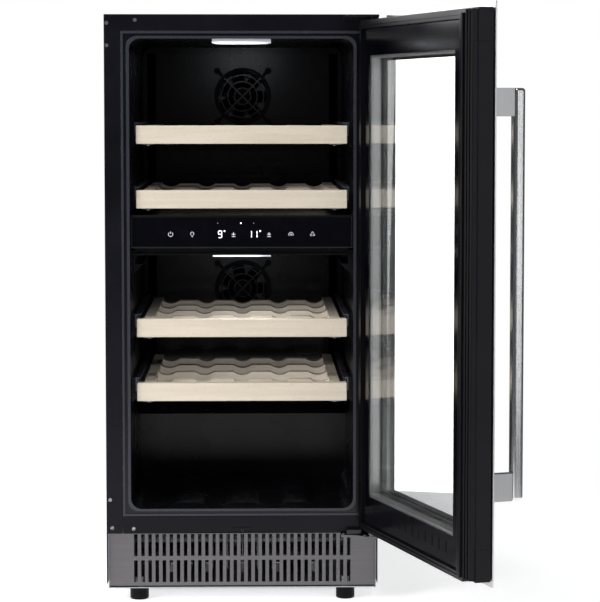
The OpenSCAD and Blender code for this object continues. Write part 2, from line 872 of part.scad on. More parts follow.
module door_inner_frame() {
  color([0.03, 0.03, 0.04]) open_door() difference() {
    ring(16.5, glass_border, glass_z0, glass_z1, 4.5, 13.8);
    panel(glass_border - pane_lap - 0.3, body_w - glass_border + pane_lap + 0.3,
      inner_pane_d - 0.1, 15, glass_z0 - pane_lap - 0.3, glass_z1 + pane_lap + 0.3);
    for (i = [0:11]) {
      panel(60 + i * (body_w - 120) / 11, 64 + i * (body_w - 120) / 11, 3.5, 5.3,
        glass_z0 - 24, glass_z0 - 10);
    }
  }
}

module pane(d, t) {
  panel(glass_border - pane_lap, body_w - glass_border + pane_lap, d, d + t,
    glass_z0 - pane_lap, glass_z1 + pane_lap);
}

module outer_glass() {
  color([0.6, 0.7, 0.7, 0.35]) open_door() pane(outer_pane_d, 4);
}

module inner_glass() {
  color([0.6, 0.7, 0.7, 0.35]) open_door() pane(inner_pane_d, 3);
}

module glass_spacer() {
  d0 = inner_pane_d + 3 + seam;
  d1 = outer_pane_d - seam;
  color([0.75, 0.76, 0.75]) open_door() difference() {
    panel(glass_border - 2.5, body_w - glass_border + 2.5, d0, d1, glass_z0 - 2.5,
      glass_z1 + 2.5);
    panel(glass_border + 3.5, body_w - glass_border - 3.5, d0 - 1, d1 + 1, glass_z0 + 3.5,
      glass_z1 - 3.5);
  }
}

module gasket_ring(a, b, d0, d1) {
  difference() {
    panel(a, body_w - a, d0, d1, db_z0 + a, db_z1 - a);
    panel(b, body_w - b, d0 - 1, d1 + 1, db_z0 + b, db_z1 - b);
  }
}

module door_gasket() {
  color([0.05, 0.05, 0.06]) open_door() difference() {
    union() {
      gasket_ring(2.5, 15, 4, 13.8);
      gasket_ring(7, 14, 0.6, 4.5);
    }
    for (d = [6, 9.6]) {
      difference() {
        panel(0, body_w, d, d + 1.4, db_z0, db_z1);
        panel(4.5, body_w - 4.5, d - 1, d + 3, db_z0 + 4.5, db_z1 - 4.5);
      }
    }
    gasket_ring(9.5, 10.9, 0, 1.8);
  }
}

module handle_bar() {
  d = door_t + handle_gap;
  color([0.75, 0.75, 0.75]) open_door()
    panel(body_w - handle_s - handle_bar_t, body_w - handle_s, d, d + handle_bar_t,
      handle_z0, handle_z0 + handle_len);
}

module handle_posts() {
  color([0.72, 0.72, 0.72]) open_door() for (z = [handle_z0, handle_z0 + handle_len - 35]) {
    panel(body_w - handle_s - 12, body_w - handle_s, door_t + seam, door_t + handle_gap - seam,
      z, z + 35);
  }
}

outer_wrapper();
rear_panel();
base_pan();
lower_front_rail();
inner_liner();
insulation_foam();
compartment_plate();
zone_divider();
control_fascia();
control_glass();
zone_lights();
upper_duct_cover();
lower_duct_cover();
evaporators();
fan_frames();
temperature_sensors();
charcoal_filter();
kickplate();
compressor();
compressor_grommets();
condenser_coil();
condenser_shroud();
drain_tray();
refrigerant_tubes();
power_box();
rear_grille();
fixed_rails();
upper_hinge();
lower_hinge();
lower_hinge_cover();
cabinet_screws();
upper_fan();
lower_fan();
condenser_fan();
foot_front_left();
foot_front_right();
foot_rear_left();
foot_rear_right();
shelf_1_front();
shelf_1_rack();
shelf_1_rails();
shelf_2_front();
shelf_2_rack();
shelf_2_rails();
shelf_3_front();
shelf_3_rack();
shelf_3_rails();
shelf_4_front();
shelf_4_rack();
shelf_4_rails();
door_skin();
door_frame();
door_end_caps();
door_inner_frame();
outer_glass();
inner_glass();
glass_spacer();
door_gasket();
handle_bar();
handle_posts();
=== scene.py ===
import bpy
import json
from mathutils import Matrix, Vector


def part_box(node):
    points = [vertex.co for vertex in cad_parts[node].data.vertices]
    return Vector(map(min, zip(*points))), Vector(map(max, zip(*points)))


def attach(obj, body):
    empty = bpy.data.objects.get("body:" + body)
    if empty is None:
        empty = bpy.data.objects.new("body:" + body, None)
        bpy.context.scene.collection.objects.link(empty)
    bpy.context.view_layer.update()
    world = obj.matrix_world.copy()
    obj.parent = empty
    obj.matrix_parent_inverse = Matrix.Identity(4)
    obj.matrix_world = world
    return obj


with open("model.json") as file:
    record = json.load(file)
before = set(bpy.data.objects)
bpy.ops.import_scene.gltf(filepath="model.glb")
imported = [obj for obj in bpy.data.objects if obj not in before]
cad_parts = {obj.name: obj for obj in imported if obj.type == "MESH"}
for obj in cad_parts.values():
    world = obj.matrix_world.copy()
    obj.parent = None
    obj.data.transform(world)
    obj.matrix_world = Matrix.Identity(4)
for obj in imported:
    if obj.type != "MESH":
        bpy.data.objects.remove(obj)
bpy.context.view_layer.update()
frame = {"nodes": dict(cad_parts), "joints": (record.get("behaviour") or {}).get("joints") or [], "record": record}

import json
import math

import bmesh
import bpy
from mathutils import Vector

MM = 0.001

# %% [markdown]
# ## The camera
#
# The cooler is seen from the front with a long lens, so that it looks upright and calm. The camera stands
# a little above the middle and looks slightly down. Part of the downward look is made with the lens
# shift, which keeps the upright edges almost parallel, as a view camera does for furniture. The shift
# stays small, because other views keep it.
# %% Camera
lens = bpy.data.cameras.new("studio_camera")
lens.sensor_width, lens.lens = 36, 133.59
lens.shift_y = -0.05
lens.clip_start, lens.clip_end = 0.1, 200
LOOK_DOWN, LOOK_RIGHT = 4.04, 1.283
camera = bpy.data.objects.new("studio_camera", lens)
camera.location = (0.0115, -3.3634, 0.6868)
camera.rotation_euler = (math.radians(90 - LOOK_DOWN), 0, -math.radians(LOOK_RIGHT))
bpy.context.scene.collection.objects.link(camera)
bpy.context.scene.camera = camera
print("camera at", tuple(camera.location))

# %% [markdown]
# ## Where the door is
#
# The door stands open at 107 degrees, and its pieces are stored at that angle. Brushed lines and printed
# borders are easier to plan on the closed door, so one helper turns closed-door measures into the open
# position: s runs across the door from the hinge edge, d out of the cabinet's front, z up, all in
# millimetres. The pivot is read from the record's hinge joint, so the helper follows the CAD model.
# %% Door coordinates
hinge = next(j for j in frame["joints"] if j["name"] == "door_hinge")
PIVOT = Vector((hinge["pos_m"][0], hinge["pos_m"][1], 0))
OPEN = math.radians(107)
cabinet_low, cabinet_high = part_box("outer_wrapper")
FRONT_Y = cabinet_low.y
DOOR_W = (cabinet_high.x - cabinet_low.x) / MM


def on_door(s, d, z):
    closed = Vector((cabinet_high.x - s * MM, FRONT_Y - d * MM, z * MM)) - PIVOT
    x = closed.x * math.cos(OPEN) - closed.y * math.sin(OPEN)
    y = closed.x * math.sin(OPEN) + closed.y * math.cos(OPEN)
    return Vector((x, y, closed.z)) + PIVOT


print("far door corner:", [round(v, 4) for v in on_door(DOOR_W, 0, 0)])

# %% [markdown]
# ## Shader maths as plain Python
#
# A finish is a small graph of nodes. Writing it with a socket at a time is long and hard to read, so a
# Wire stands for what comes out of a node, and +, -, * and comparisons on it add Math nodes. The
# reflected forms make 1 - mask work. Every other node comes from one method of Finish, which sets the
# node's settings first and then its sockets. Numbers that are the same everywhere go straight onto the
# shader's own sockets.
# %% Wires and finishes
class Wire:
    def __init__(self, finish, socket):
        self.finish, self.socket = finish, socket

    def math(self, operation, *others):
        return self.finish.node("Math", {"operation": operation}, self, *others)

    def __add__(self, other):
        return self.math("ADD", other)

    def __radd__(self, other):
        return self.finish.node("Math", {"operation": "ADD"}, other, self)

    def __sub__(self, other):
        return self.math("SUBTRACT", other)

    def __rsub__(self, other):
        return self.finish.node("Math", {"operation": "SUBTRACT"}, other, self)

    def __mul__(self, other):
        return self.math("MULTIPLY", other)

    def __rmul__(self, other):
        return self.finish.node("Math", {"operation": "MULTIPLY"}, other, self)

    def __lt__(self, other):
        return self.math("LESS_THAN", other)

    def __gt__(self, other):
        return self.math("GREATER_THAN", other)

    def __abs__(self):
        return self.math("ABSOLUTE")


class Finish:
    def __init__(self, name, **uniform):
        self.material = bpy.data.materials.new(name)
        self.material.use_nodes = True
        self.tree = self.material.node_tree
        self.shader = self.tree.nodes["Principled BSDF"]
        for socket, value in uniform.items():
            self.plug(self.shader.inputs[socket.replace("_", " ")], value)

    def plug(self, socket, value):
        if isinstance(value, Wire):
            self.tree.links.new(value.socket, socket)
        elif socket.type == "RGBA" and len(value) == 3:
            socket.default_value = (*value, 1)
        else:
            socket.default_value = value

    def node(self, kind, settings, *values, out=0, **named):
        made = self.tree.nodes.new("ShaderNode" + kind)
        for key, value in settings.items():
            setattr(made, key, value)
        shown = [socket for socket in made.inputs if socket.enabled]
        for socket, value in [*zip(shown, values), *((made.inputs[k], v) for k, v in named.items())]:
            self.plug(socket, value)
        return Wire(self, [socket for socket in made.outputs if socket.enabled][out])

    def vary(self, **sockets):
        for socket, wire in sockets.items():
            self.plug(self.shader.inputs[socket.replace("_", " ")], wire)
        return self


print("shader helpers ready")

# %% [markdown]
# ## Patterns that many finishes share
#
# Everything is measured on the object itself, in metres, so a grain has the same size on a shelf and on a
# side panel. Four patterns do most of the work: plain coordinates (turned back to the closed door for
# door pieces), a noise stretched along one direction, a mix of two colours and a bump. A stretched noise
# makes most of brushed steel and of wood.
# %% Shared patterns
def place(f, stretch=(1, 1, 1), door=False):
    spot = f.node("TexCoord", {}, out=3)
    if door:
        spot = f.node("VectorRotate", {"rotation_type": "Z_AXIS"}, spot, tuple(PIVOT), -OPEN)
    return f.node("VectorMath", {"operation": "MULTIPLY"}, spot, stretch)


def grain(f, stretch, detail, door=False):
    return f.node("TexNoise", {}, place(f, stretch, door), 1.0, detail, 0.55)


def tint(f, factor, first, second):
    return f.node("Mix", {"data_type": "RGBA"}, factor, first, second)


def remap(f, wire, low, high, first=0.0, second=1.0):
    return f.node("MapRange", {"interpolation_type": "SMOOTHSTEP"}, wire, low, high, first, second)


def relief(f, height, depth, strength):
    return f.node("Bump", {}, Strength=strength, Distance=depth, Height=height)


def axes(f, door=False):
    split = f.node("SeparateXYZ", {}, place(f, door=door))
    sockets = split.socket.node.outputs
    return [Wire(f, sockets[name]) for name in "XYZ"]


print("shared patterns ready")

# %% [markdown]
# ## Finishes from the press shop and the paint line
#
# The body is thin steel with black powder coat. Powder melts into a skin with a very fine ripple, like
# orange peel, and it is slightly more worn and duller in patches. One maker serves all painted metal: a
# fine noise for the ripple, a coarse one for the patches in roughness and tone.
# %% Painted metal
WORN = 1.6


def painted(name, colour, roughness, peel=900, depth=0.00008, **uniform):
    f = Finish(name, Roughness=roughness, **uniform)
    ripple = grain(f, (peel, peel, peel), 1.5)
    patches = grain(f, (7, 7, 7), 4)
    lighter = tuple(min(1, c * WORN + 0.001) for c in colour)
    return f.vary(
        Base_Color=tint(f, remap(f, patches, 0.35, 0.7), colour, lighter),
        Roughness=roughness + (patches - 0.5) * 0.22,
        Normal=relief(f, ripple, depth, 0.35),
    )


finishes = {
    "black_steel": painted("black_powder_coat", (0.0028, 0.0027, 0.0048), 0.32, Specular_IOR_Level=0.15),
    "hinge_black": painted("black_hinge_paint", (0.003, 0.003, 0.004), 0.25, peel=1500),
    "compressor_paint": painted("compressor_enamel", (0.008, 0.008, 0.009), 0.2, peel=260, depth=0.0003),
    "condenser_metal": painted("condenser_coating", (0.20, 0.21, 0.26), 0.4, peel=1200),
}
print("painted finishes:", len(finishes))

# %% [markdown]
# ## Bare metal
#
# Brushed stainless steel has thousands of tiny parallel scratches. A noise that is stretched a few
# hundred times along the brushing gives them, and it works in three places at once: a little in the
# colour, more in the roughness, and as a shallow bump that smears reflections. The door is brushed along
# its height and the plinth across. Zinc plate has a milky bloom instead of lines, and galvanised sheet
# has crystals that meet in sharp edges, which a Voronoi pattern gives.
# %% Brushed steel
def brushed(name, colour, roughness, stretch, door=False, contrast=0.12):
    f = Finish(name, Metallic=1.0, Roughness=roughness)
    lines = grain(f, stretch, 3, door)
    handled = grain(f, (5, 5, 5), 3)
    darker = tuple(c * (1 - contrast) for c in colour)
    return f.vary(
        Base_Color=tint(f, remap(f, lines, 0.3, 0.7), darker, colour),
        Roughness=roughness + (lines - 0.5) * 0.22 + (handled - 0.5) * 0.08,
        Normal=relief(f, lines, 0.00003, 0.25),
    )


def crystals(f, scale):
    return f.node("TexVoronoi", {}, place(f, (scale, scale, scale)), out=1)


def plated(name, colour, roughness, scale, spread):
    f = Finish(name, Metallic=1.0, Roughness=roughness)
    cell = f.node("SeparateColor", {}, crystals(f, scale))
    bloom = grain(f, (45, 45, 45), 4)
    darker = tuple(c * (1 - spread) for c in colour)
    return f.vary(
        Base_Color=tint(f, cell * 0.6 + bloom * 0.4, darker, colour),
        Roughness=roughness + (cell - 0.5) * 0.14 + (bloom - 0.5) * 0.2,
        Normal=relief(f, bloom, 0.00004, 0.3),
    )


ALONG_DOOR = (1500, 1500, 5)
ACROSS_PLINTH = (6, 1400, 1400)
finishes["stainless"] = brushed("brushed_door_steel", (0.60, 0.595, 0.59), 0.30, ALONG_DOOR, True)
finishes["stainless_bright"] = brushed("satin_handle_steel", (0.72, 0.72, 0.72), 0.17, ALONG_DOOR, True,
                                       contrast=0.08)
finishes["plinth_steel"] = brushed("brushed_plinth_steel", (0.155, 0.149, 0.154), 0.33, ACROSS_PLINTH,
                                   contrast=0.16)
finishes["galvanised_steel"] = plated("galvanised_sheet", (0.50, 0.51, 0.53), 0.38, 110, 0.35)
finishes["rail_zinc"] = plated("dark_zinc_rail", (0.30, 0.31, 0.38), 0.34, 600, 0.2)
finishes["hinge_zinc"] = plated("zinc_hinge", (0.13, 0.13, 0.14), 0.24, 700, 0.3)
print("metals so far:", len(finishes))

# %% [markdown]
# Rolled aluminium fins and drawn copper tube come from the same idea. The fins are a pattern, and the gaps
# between them are painted darker, as painted shade between the fins. Copper darkens where it was handled
# or soldered, so its tone drifts along the tube. The screws are steel with a black oxide that has worn
# off their rims.
# %% Aluminium, copper and screws
FINS_PER_METRE = 400


def finned(name, colour):
    f = Finish(name, Metallic=1.0, Roughness=0.35)
    x, _, _ = axes(f)
    fins = abs((x * FINS_PER_METRE).math("FRACT") - 0.5) * 2
    bloom = grain(f, (60, 60, 60), 3)
    # Painted shade: the gaps between the fins get the darker tone, the fin edges the plain one.
    darker = tuple(c * 0.62 for c in colour)
    return f.vary(
        Base_Color=tint(f, remap(f, fins, 0.2, 0.6), darker, colour),
        Roughness=0.3 + bloom * 0.15,
        Normal=relief(f, fins, 0.0004, 0.4),
    )


def copper_tube():
    f = Finish("drawn_copper", Metallic=1.0, Roughness=0.28)
    tarnish = grain(f, (22, 22, 22), 5)
    drawn = grain(f, (700, 700, 700), 2)
    return f.vary(
        Base_Color=tint(f, remap(f, tarnish, 0.45, 0.65), (0.78, 0.38, 0.24), (0.36, 0.17, 0.10)),
        Roughness=0.2 + tarnish * 0.3,
        Normal=relief(f, drawn, 0.00002, 0.3),
    )


def oxide_screw():
    f = Finish("black_oxide_screw", Metallic=0.9, Roughness=0.3)
    worn = remap(f, grain(f, (800, 800, 800), 2), 0.5, 0.62)
    return f.vary(
        Base_Color=tint(f, worn, (0.16, 0.16, 0.175), (0.60, 0.60, 0.64)),
        Roughness=0.42 - worn * 0.18,
    )


finishes["evaporator_alu"] = finned("finned_aluminium", (0.10, 0.105, 0.11))
finishes["copper"] = copper_tube()
finishes["screw_black"] = oxide_screw()
print("metals done:", len(finishes))

# %% [markdown]
# ## Moulded plastics, rubber and foam
#
# The lining, the duct covers and the panels are black plastic. Moulds leave a very fine spark-eroded
# grain, and the flow of the plastic leaves soft patches where it shines a little more. One maker covers
# them, from glossy to matt. Foam is a froth of small cells, so its bump is a Voronoi pattern. The
# lining's front ridge gets a painted highlight: its first millimetre behind the front is painted paler,
# as a ridge that catches the light would look.
# %% Plastics
def moulded(name, colour, roughness, pores=1300, depth=0.00006, lift=1.5, **uniform):
    f = Finish(name, Roughness=roughness, **uniform)
    skin = grain(f, (pores, pores, pores), 2)
    flow = grain(f, (9, 9, 9), 3)
    lighter = tuple(min(1, c * lift + 0.0006) for c in colour)
    return f.vary(
        Base_Color=tint(f, remap(f, flow, 0.3, 0.75), colour, lighter),
        Roughness=roughness + (flow - 0.5) * 0.16,
        Normal=relief(f, skin, depth, 0.3),
    )


def foam_block():
    f = Finish("insulation_foam", Roughness=0.9)
    cells = f.node("TexVoronoi", {}, place(f, (420, 420, 420)))
    cloudy = grain(f, (12, 12, 12), 3)
    return f.vary(
        Base_Color=tint(f, cells * 0.5 + cloudy * 0.5, (0.86, 0.80, 0.58), (0.70, 0.62, 0.40)),
        Roughness=0.8 + cells * 0.2,
        Normal=relief(f, cells, 0.0006, 0.7),
    )


PAINTED_HIGHLIGHT_DEPTH = 0.9 * MM


def lining():
    f = moulded("black_lining", (0.0018, 0.0019, 0.0032), 0.27, depth=0.00001, Specular_IOR_Level=0.3)
    plain = f.shader.inputs["Base Color"].links[0].from_socket
    _, y, _ = axes(f)
    # Painted highlight: the ridge's first millimetre behind the front is painted paler, standing in for light
    # caught by the ridge.
    painted_highlight = y < FRONT_Y + PAINTED_HIGHLIGHT_DEPTH
    return f.vary(Base_Color=tint(f, painted_highlight, Wire(f, plain), (0.030, 0.031, 0.042)))


finishes.update(
    black_abs=lining(),
    fascia_plastic=moulded("fascia_plastic", (0.0015, 0.0015, 0.0022), 0.3, Specular_IOR_Level=0.3),
    fan_plastic=moulded("fan_plastic", (0.0014, 0.0014, 0.0018), 0.55, Specular_IOR_Level=0.08),
    sensor_plastic=moulded("sensor_plastic", (0.62, 0.62, 0.57), 0.45, lift=1.1),
    filter_plastic=moulded("filter_plastic", (0.006, 0.006, 0.007), 0.5),
    tray_plastic=moulded("machine_room_plastic", (0.006, 0.006, 0.007), 0.5, pores=900),
    hinge_cover_plastic=moulded("hinge_cover_plastic", (0.002, 0.002, 0.0025), 0.3),
    foot_plastic=moulded("foot_plastic", (0.0010, 0.0010, 0.0014), 0.4, pores=700, depth=0.0001,
                         Specular_IOR_Level=0.12),
    door_black=moulded("door_core_plastic", (0.0060, 0.0056, 0.0075), 0.36, Specular_IOR_Level=0.13),
    door_gloss=moulded("polished_door_frame", (0.0012, 0.0012, 0.0024), 0.17, depth=0.00001,
                       Specular_IOR_Level=0.4),
    rubber=moulded("grommet_rubber", (0.006, 0.006, 0.006), 0.75, pores=500, depth=0.0002),
    gasket_vinyl=moulded("gasket_vinyl", (0.0026, 0.0026, 0.0036), 0.32, pores=600, depth=0.00005,
                         Specular_IOR_Level=0.18),
    foam=foam_block(),
)
print("finishes:", len(finishes))

# %% [markdown]
# ## Beech
#
# The shelf fronts are pale beech with a clear satin lacquer. Beech has a calm, straight grain and, as its
# mark, many small brown flecks a few millimetres long. Stretched noise gives the grain: long along the
# board, short across it. The flecks are a second, shorter noise of which only the highest peaks are kept.
# %% Beech
def beech_wood():
    f = Finish("lacquered_beech", Roughness=0.42, Coat_Weight=0.12, Coat_Roughness=0.3)
    years = grain(f, (7, 60, 130), 4)
    fibres = grain(f, (40, 900, 900), 3)
    flecks = remap(f, grain(f, (190, 900, 1500), 1), 0.62, 0.72)
    boards = grain(f, (1.5, 3, 11), 1)
    timber = tint(f, remap(f, years, 0.3, 0.7), (0.68, 0.60, 0.49), (0.61, 0.525, 0.41))
    timber = tint(f, boards * 0.35, timber, (0.71, 0.65, 0.56))
    timber = tint(f, flecks * 0.3, timber, (0.45, 0.32, 0.20))
    return f.vary(
        Base_Color=timber,
        Roughness=0.38 + fibres * 0.2,
        Normal=relief(f, fibres - flecks * 0.5, 0.00005, 0.35),
    )


finishes["beech"] = beech_wood()
print("finishes:", len(finishes))

# %% [markdown]
# ## Glass
#
# The door has two panes with a sealed gap. Real float glass is clear with a trace of green, and fingers
# leave faint patches that show only in reflections, so the roughness varies a very little. The touch
# panel is black printed glass: the print sits behind it, so it is simply a black with a hard, sharp
# gloss.
# %% Glass finishes
def float_glass(name, colour, smear):
    f = Finish(name, Base_Color=colour, Transmission_Weight=1.0, IOR=1.45, Roughness=0.0)
    wiped = remap(f, grain(f, (14, 14, 3), 4, True), 0.5, 0.75)
    return f.vary(Roughness=wiped * smear)


def touch_glass():
    f = Finish("touch_panel_glass", Roughness=0.07, Coat_Weight=0.15, Coat_Roughness=0.02,
               Specular_IOR_Level=0.25)
    smudge = remap(f, grain(f, (60, 60, 60), 4), 0.45, 0.75)
    return f.vary(
        Base_Color=tint(f, smudge, (0.0008, 0.0008, 0.0022), (0.0018, 0.0018, 0.0036)),
        Roughness=0.05 + smudge * 0.1,
    )


finishes["door_glass"] = float_glass("inner_float_glass", (0.99, 1.0, 0.995), 0.02)
finishes["door_glass_outer"] = float_glass("outer_float_glass", (0.98, 0.99, 0.985), 0.02)
finishes["panel_glass"] = touch_glass()
print("finishes:", len(finishes))

# %% [markdown]
# ## The spacer between the panes
#
# A hollow aluminium bar keeps the panes apart, and its visible face has two rows of tiny holes, through
# which a drying agent takes up moisture. Cutting thousands of holes would be wasteful, so they are dots
# in the finish. A dot is the place where the distance to the middle of a small square is short; the
# square repeats along the bar. Upright bars count along the height and the level bars across the door.
# %% Perforated spacer
SPACER_W, SPACER_MIDDLE = 6.2 * MM, 16.1
HOLE_PITCH, HOLE_ROW, HOLE_EDGE = 2.5, 5.2, (0.25, 0.6)


def perforated_spacer():
    f = Finish("perforated_spacer", Metallic=0.85, Roughness=0.42)
    x, y, z = axes(f, door=True)
    low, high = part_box("glass_spacer")
    level_bar = (z < low.z + SPACER_W) + (z > high.z - SPACER_W)
    run = z * (1 - level_bar) + x * level_bar
    deep = (FRONT_Y - y) * 1000 - SPACER_MIDDLE
    along = ((run * (1000 / HOLE_PITCH)).math("FRACT") - 0.5) * HOLE_PITCH
    across = abs(deep) - HOLE_ROW
    far = along * along + across * across
    holes = 1 - remap(f, far, *HOLE_EDGE)
    bloom = grain(f, (300, 300, 300), 2)
    return f.vary(
        Base_Color=tint(f, holes * 0.8, (0.78, 0.785, 0.785), (0.06, 0.06, 0.06)),
        Roughness=0.36 + bloom * 0.15,
        Normal=relief(f, 1 - holes, 0.0002, 0.4),
    )


finishes["spacer_alu"] = perforated_spacer()
print("finishes:", len(finishes))

# %% [markdown]
# ## The lights
#
# Each zone has a bar of white diodes behind a milky lens. The lens itself glows, a little more over each
# diode, so its emission colour follows a gentle wave along the bar. It fades towards both ends, and the
# upper half of the lens, which is set in the housing, stays dark.
# %% Lit lens
LENS_H = 6.1 * MM
RIM_FROM, RIM_TO = 3 * MM, 5 * MM
GLOW_MIDDLE, FADE_FROM, FADE_TO = -6 * MM, 16 * MM, 42 * MM
lens_low, lens_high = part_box("zone_lights")


def lit_lens():
    f = Finish("lit_lens", Base_Color=(0.9, 0.9, 0.92), Roughness=0.5, Emission_Strength=2.6)
    x, _, z = axes(f)
    diodes = (x * 420).math("SINE") * 0.5 + 0.5
    colour = tint(f, diodes, (0.80, 0.85, 1.0), (1.0, 1.0, 1.0))
    ends = 1 - remap(f, abs(x - GLOW_MIDDLE), FADE_FROM, FADE_TO, 0.0, 0.88)
    upper = z > (lens_low.z + lens_high.z) / 2
    below_rim = upper * (lens_high.z - z) + (1 - upper) * (lens_low.z + LENS_H - z)
    milky = remap(f, below_rim, RIM_FROM, RIM_TO) * ends
    return f.vary(Emission_Color=tint(f, milky, (0.02, 0.02, 0.03), colour))


finishes["light_lens"] = lit_lens()
print("finishes:", len(finishes))

# %% [markdown]
# ## Put the finishes on the frame
#
# The record says which material slot each CAD node belongs to, so one loop dresses all of them. A missing
# finish would stop the script here, with the slot's name. The two posts of the handle share the door's
# slot, but they are small and brushed more coarsely, so they get a steel of their own.
# %% Dress the CAD nodes
slot_of = {part["node"]: part["material_slot"] for part in frame["record"]["subparts"]}
for name, node in frame["nodes"].items():
    node.data.materials.clear()
    node.data.materials.append(finishes[slot_of[name]].material)
posts = brushed("brushed_post_steel", (0.40, 0.40, 0.405), 0.34, ALONG_DOOR, True)
frame["nodes"]["handle_posts"].data.materials[0] = posts.material
print("dressed:", len(slot_of), "nodes with", len(finishes), "finishes")

# %% [markdown]
# ## Soft edges
#
# No sheet or board has a knife-sharp edge, and the thin line of light along a rounded edge is what makes
# an object look real. A Bevel modifier rounds only edges sharper than its angle limit and leaves the CAD
# mesh untouched. A Weld modifier comes first, because the faces of the loaded mesh each have corners of
# their own. The radius is what the real piece has: under a millimetre on steel, a full one on the beech
# and on the lining, and four on the handle, which needs more segments to look round.
# %% Bevels
ROUNDED = {f"shelf_{level}_front": 1.0 for level in (1, 2, 3, 4)}
ROUNDED.update(handle_bar=4.0, inner_liner=1.0, outer_wrapper=0.7, door_skin=0.5, door_frame=0.5,
               control_fascia=0.5, upper_hinge=0.4, handle_posts=0.4, lower_front_rail=0.3)
SAME_CORNER = 0.005 * MM
for name, radius in ROUNDED.items():
    joined = frame["nodes"][name].modifiers.new("joined_corners", "WELD")
    joined.merge_threshold = SAME_CORNER
    edge = frame["nodes"][name].modifiers.new("soft_edge", "BEVEL")
    edge.width, edge.segments = radius * MM, 2 if radius < 2 else 6
    edge.limit_method, edge.angle_limit = "ANGLE", math.radians(50)
print("rounded:", len(ROUNDED))

# %% [markdown]
# ## A way to make thin printed pieces
#
# Symbols, borders and labels are flat shapes with a thickness of a few hundredths of a millimetre. A
# plate is an outline in two measures, turned into space by a function and given a back, so that it is a
# closed solid. The same helper serves the cabinet's front and the door, because only the turning function
# differs.
# %% Plates
def finish_piece(name, mesh, body, material):
    for polygon in mesh.polygons:
        polygon.use_smooth = False
    mesh.materials.append(material)
    piece = bpy.data.objects.new(name, mesh)
    bpy.context.scene.collection.objects.link(piece)
    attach(piece, body)


def closed_mesh(name, shape):
    bmesh.ops.recalc_face_normals(shape, faces=shape.faces)
    mesh = bpy.data.meshes.new(name)
    shape.to_mesh(mesh)
    shape.free()
    return mesh


def plate_mesh(name, outlines, turn):
    shape = bmesh.new()
    for outline in outlines:
        front = [shape.verts.new(turn(a, b, 0)) for a, b in outline]
        back = [shape.verts.new(turn(a, b, 1)) for a, b in outline]
        shape.faces.new(front)
        shape.faces.new(back[::-1])
        for i in range(len(outline)):
            j = (i + 1) % len(outline)
            shape.faces.new((front[j], front[i], back[i], back[j]))
    return closed_mesh(name, shape)


panel_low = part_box("control_glass")[0]
AIR, INK = 0.02, 0.06


def on_panel(x, z, layer):
    return Vector((x * MM, panel_low.y - (AIR + INK * layer) * MM, z * MM))


print("panel front at y =", round(panel_low.y, 4))

# %% [markdown]
# ## Lit symbols on the touch panel
#
# The panel shows two temperatures in seven-bar digits, plus and minus signs to change them, and round
# touch symbols. Each symbol is drawn with strokes, as a sign maker would lay it out: a stroke is a narrow
# bar between two points with blunt tips, and an arc is many short strokes. Only general signs are used:
# digits, plus and minus, a power ring, a lamp, a house and a fan.
# %% Strokes
def stroke(a, b, width):
    ax, az, bx, bz = *a, *b
    length = math.hypot(bx - ax, bz - az)
    ux, uz = (bx - ax) / length, (bz - az) / length
    px, pz = -uz * width / 2, ux * width / 2
    cut = width * 0.35
    return [
        (ax - ux * cut, az - uz * cut), (ax + px, az + pz), (bx + px, bz + pz),
        (bx + ux * cut, bz + uz * cut), (bx - px, bz - pz), (ax - px, az - pz),
    ]


def arc(x, z, r, start, end, width, steps=14):
    turn = [math.radians(start + (end - start) * i / steps) for i in range(steps + 1)]
    spots = [(x + r * math.cos(t), z + r * math.sin(t)) for t in turn]
    return [stroke(spots[i], spots[i + 1], width) for i in range(steps)]


def circle(x, z, r, steps):
    turn = [math.tau * i / steps for i in range(steps)]
    return [(x + r * math.cos(t), z + r * math.sin(t)) for t in turn]


print("a stroke has", len(stroke((0, 0), (1, 0), 0.4)), "corners")

# %% [markdown]
# The digits use the seven bars of an ordinary numeric display, named a to g from the top bar clockwise to
# the middle. A 9 leaves out the lower left bar and a 1 keeps the two right ones.
# %% Digits
BARS = {
    "a": ((-1, 2), (1, 2)), "b": ((1, 2), (1, 0)), "c": ((1, 0), (1, -2)), "d": ((1, -2), (-1, -2)),
    "e": ((-1, -2), (-1, 0)), "f": ((-1, 0), (-1, 2)), "g": ((-1, 0), (1, 0)),
}
LIT = {"9": "abcdfg", "1": "bc"}


def digit(sign, x, z, half=2.3, quarter=2.35, width=0.95):
    made = []
    for bar in LIT[sign]:
        (ax, az), (bx, bz) = BARS[bar]
        a = Vector((x + ax * half, z + az * quarter))
        b = Vector((x + bx * half, z + bz * quarter))
        gap = (b - a).normalized() * width * 0.55
        made.append(stroke(tuple(a + gap), tuple(b - gap), width))
    return made


ROW, DOTS = 518.5, 534


def degree(x):
    return arc(x, ROW + 4.4, 0.95, 0, 360, 0.5)


digits = digit("9", -30.2, ROW) + degree(-24.0)
digits += digit("1", 11.3, ROW) + digit("1", 18.9, ROW) + degree(25.6)
digits.append(circle(-1.2, DOTS, 0.95, 16))
print("digit strokes:", len(digits))

# %% [markdown]
# The touch symbols sit left and right of the digits, each a short function of where its middle is. They
# are dimmer than the digits, because they only have to be found with a finger.
# %% Touch symbols
def level(x, z, half, width):
    return stroke((x - half, z), (x + half, z), width)


def power_sign(x, z):
    return arc(x, z, 3.1, 125, 415, 0.55, 18) + [stroke((x, z + 0.8), (x, z + 3.8), 0.55)]


def lamp_sign(x, z):
    bulb = arc(x, z + 0.8, 2.3, -60, 240, 0.55, 16)
    return bulb + [level(x, z - 2.4, 1.1, 0.5), level(x, z - 3.4, 0.8, 0.5)]


def plus_minus_sign(x, z):
    above, below = stroke((x, z + 0.4), (x, z + 2.6), 0.7), stroke((x, z - 0.4), (x, z - 1.8), 0.7)
    return [level(x, z, 2.4, 0.7), above, below, level(x, z - 3.2, 2.4, 0.7)]


def house_sign(x, z):
    roof = [stroke((x - 1.3, z - 1.9), (x, z + 0.8), 0.5), stroke((x, z + 0.8), (x + 1.3, z - 1.9), 0.5)]
    return arc(x, z - 0.6, 3.2, -25, 205, 0.5, 16) + roof


